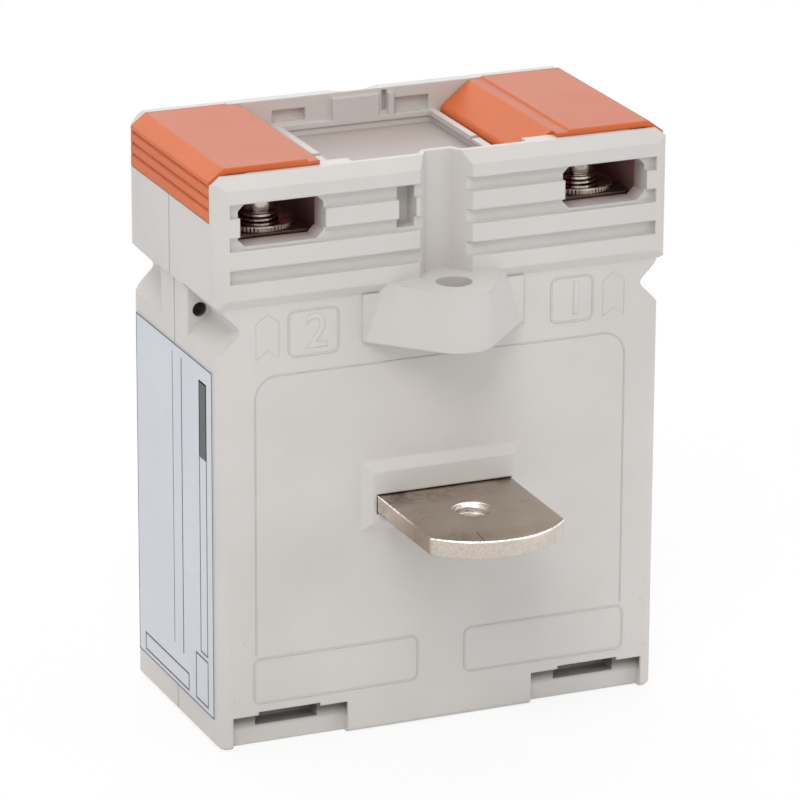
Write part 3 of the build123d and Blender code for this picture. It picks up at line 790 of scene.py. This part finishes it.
frontFace = {"plane": -15.0, "sink": 0.05}
frontMarks = {
    "terminalFrames": [(-20.6, -13.8, 50.6, 56.65), (14.6, 20.5, 50.6, 56.65)],
    "footFrames": [(-25.3, -3.0, 5.7, 11.8), (3.2, 25.4, 5.7, 11.8)],
    "tags": [(-24.75, -21.75, 50.8, 55.45, 56.5), (21.8, 24.7, 50.8, 55.45, 56.5)],
    "panel": (-25.0, 25.0, 5.0, 48.65), "panelCut": 12.2,
    "frameRadius": 1.0, "panelRadius": 3.0, "tagNotch": 1.1,
    "line": 0.24, "proud": 0.065, "tagLine": 0.2, "tagProud": 0.05, "panelSteps": 12,
}
terminalNumbers = {
    "height": 4.6, "fontShare": 1.36, "half": 0.02, "ease": 0.06, "easeSteps": 2,
    "places": [("2", -18.3, 51.6), ("1", 16.5, 51.6)],
}
ontoFront = Matrix(((1, 0, 0, 0), (0, 0, -1, frontFace["plane"]), (0, 1, 0, 0), (0, 0, 0, 1)))


def raiseRing(shape, face, line, proud, sink):
    # A raised line along the rim of a flat face, let into what carries it
    ring = bmesh.ops.inset_region(shape, faces=[face], thickness=line, use_even_offset=True,
                                   use_boundary=True)["faces"]
    bmesh.ops.delete(shape, geom=[face], context="FACES_ONLY")
    lows = list({vert for item in ring for vert in item.verts})
    made = bmesh.ops.extrude_face_region(shape, geom=ring, use_keep_orig=True)["geom"]
    raised = [item for item in made if isinstance(item, bmesh.types.BMVert)]
    bmesh.ops.translate(shape, vec=(0, 0, proud), verts=raised)
    bmesh.ops.translate(shape, vec=(0, 0, -sink), verts=lows)


def roundedPlate(shape, x0, x1, z0, z1, radius, segments=7):
    before = set(shape.faces)
    made = bmesh.ops.create_grid(shape, x_segments=1, y_segments=1, size=0.5)["verts"]
    bmesh.ops.scale(shape, vec=(x1 - x0, z1 - z0, 1), verts=made)
    bmesh.ops.translate(shape, vec=((x0 + x1) / 2, (z0 + z1) / 2, 0), verts=made)
    if radius:
        bmesh.ops.bevel(shape, geom=made, offset=radius, offset_type="OFFSET", segments=segments, profile=0.5,
                        affect="VERTICES", material=-1)
    return next(face for face in shape.faces if face not in before)


def tagPlate(shape, x0, x1, z0, z1, apex, notch):
    middle = (x0 + x1) / 2
    points = [(x0, z0), (middle, z0 + notch), (x1, z0), (x1, z1), (middle, apex), (x0, z1)]
    return shape.faces.new([shape.verts.new((x, z, 0)) for x, z in points])


def frontMarkShape(spec):
    shape = bmesh.new()
    for box in spec["terminalFrames"] + spec["footFrames"]:
        raiseRing(shape, roundedPlate(shape, *box, spec["frameRadius"]), spec["line"], spec["proud"],
                  frontFace["sink"])
    for tag in spec["tags"]:
        raiseRing(shape, tagPlate(shape, *tag, spec["tagNotch"]), spec["tagLine"], spec["tagProud"],
                  frontFace["sink"])
    return shape


def panelLineShape(spec):
    shape = bmesh.new()
    plate = roundedPlate(shape, *spec["panel"], spec["panelRadius"], spec["panelSteps"])
    raiseRing(shape, plate, spec["tagLine"], spec["tagProud"], frontFace["sink"])
    cutAway(shape, (0, spec["panelCut"], 0), (0, -1, 0))
    capEnds(shape)
    return shape


def numberShape(text, x, z, spec):
    data = bpy.data.curves.new("numberCurve", "FONT")
    data.body = text
    data.size = spec["height"] * mm * spec["fontShare"]
    data.extrude = spec["half"] * mm
    data.bevel_depth = spec["ease"] * mm
    data.bevel_resolution = spec["easeSteps"]
    holder = bpy.data.objects.new("numberHolder", data)
    bpy.context.collection.objects.link(holder)
    view = bpy.context.evaluated_depsgraph_get()
    view.update()
    mesh = bpy.data.meshes.new_from_object(holder.evaluated_get(view))
    bpy.data.objects.remove(holder)
    bpy.data.curves.remove(data)
    shape = bmesh.new()
    shape.from_mesh(mesh)
    bpy.data.meshes.remove(mesh)
    bmesh.ops.scale(shape, vec=(1 / mm, 1 / mm, 1 / mm), verts=shape.verts)
    bmesh.ops.translate(shape, vec=(x, z, 0), verts=shape.verts)
    return shape


def finishMark(shape, name, sharp):
    bmesh.ops.transform(shape, matrix=ontoFront, verts=shape.verts)
    finishPiece(shape, name, "case", "case_plastic", sharp=sharp)


finishMark(frontMarkShape(frontMarks), "frontMarks", 60.0)
finishMark(panelLineShape(frontMarks), "panelLine", 60.0)
for text, x, z in terminalNumbers["places"]:
    finishMark(numberShape(text, x, z, terminalNumbers), "terminalNumber" + text, 70.0)
print("front marks made")


# Print of the rating label: border, boxes, rules and one plain band

labelPrint = {
    "plane": -29.85, "start": 13.1,
    "border": (0.0, 26.6, 3.7, 49.2, 0.16),
    "boxes": [(1.9, 4.45, 11.2, 47.1, 0.22), (1.85, 6.2, 4.4, 10.7, 0.24), (8.6, 24.4, 4.3, 6.75, 0.24)],
    "band": (1.9, 4.45, 37.1, 47.1), "rules": [(10.4, 8.7, 48.0, 0.24), (13.6, 9.2, 48.1, 0.14)],
    "height": 0.014, "sink": 0.02,
}
ontoSide = Matrix(((0, 0, -1, labelPrint["plane"]), (-1, 0, 0, 0), (0, 1, 0, 0), (0, 0, 0, 1)))


def labelPrintShape(spec):
    shape = bmesh.new()
    start = spec["start"]
    for near, far, low, high, line in [spec["border"]] + spec["boxes"]:
        raiseRing(shape, roundedPlate(shape, start - far, start - near, low, high, 0), line, spec["height"],
                  spec["sink"])
    plates = [spec["band"]] + [(place, place + line, low, high) for place, low, high, line in spec["rules"]]
    for near, far, low, high in plates:
        made = bmesh.ops.create_cube(shape, size=1.0)["verts"]
        bmesh.ops.scale(shape, vec=(far - near, high - low, spec["height"] + spec["sink"]), verts=made)
        middle = (spec["height"] - spec["sink"]) / 2
        bmesh.ops.translate(shape, vec=(start - (near + far) / 2, (low + high) / 2, middle), verts=made)
    bmesh.ops.transform(shape, matrix=ontoSide, verts=shape.verts)
    return shape


finishPiece(labelPrintShape(labelPrint), "labelPrint", "case", "label_paper", material=inkFinish, sharp=40.0)
print("label print made")


# Floor

floorSpec = {
    "half": 6.0, "height": -0.0002, "colour": (0.94, 0.94, 0.94), "roughness": 0.9, "whiteShare": 0.85,
}


def stageFloor(spec):
    # Plain white to the eye, softly shaded under the piece
    grid = bmesh.new()
    bmesh.ops.create_grid(grid, x_segments=2, y_segments=2, size=spec["half"])
    mesh = bpy.data.meshes.new("studioFloor")
    grid.to_mesh(mesh)
    grid.free()
    floor = bpy.data.objects.new("studioFloor", mesh)
    bpy.context.collection.objects.link(floor)
    floor.location = (0.0, 0.0, spec["height"])
    material, tree, shader = newMaterial("studioFloor")
    shader.inputs["Base Color"].default_value = (*spec["colour"], 1.0)
    shader.inputs["Roughness"].default_value = spec["roughness"]
    white = tree.nodes.new("ShaderNodeEmission")
    share = product(tree, seenRays(tree), spec["whiteShare"])
    blend = tree.nodes.new("ShaderNodeMixShader")
    tree.links.new(share, blend.inputs[0])
    tree.links.new(shader.outputs[0], blend.inputs[1])
    tree.links.new(white.outputs[0], blend.inputs[2])
    tree.links.new(blend.outputs[0], tree.nodes["Material Output"].inputs["Surface"])
    mesh.materials.append(material)


stageFloor(floorSpec)
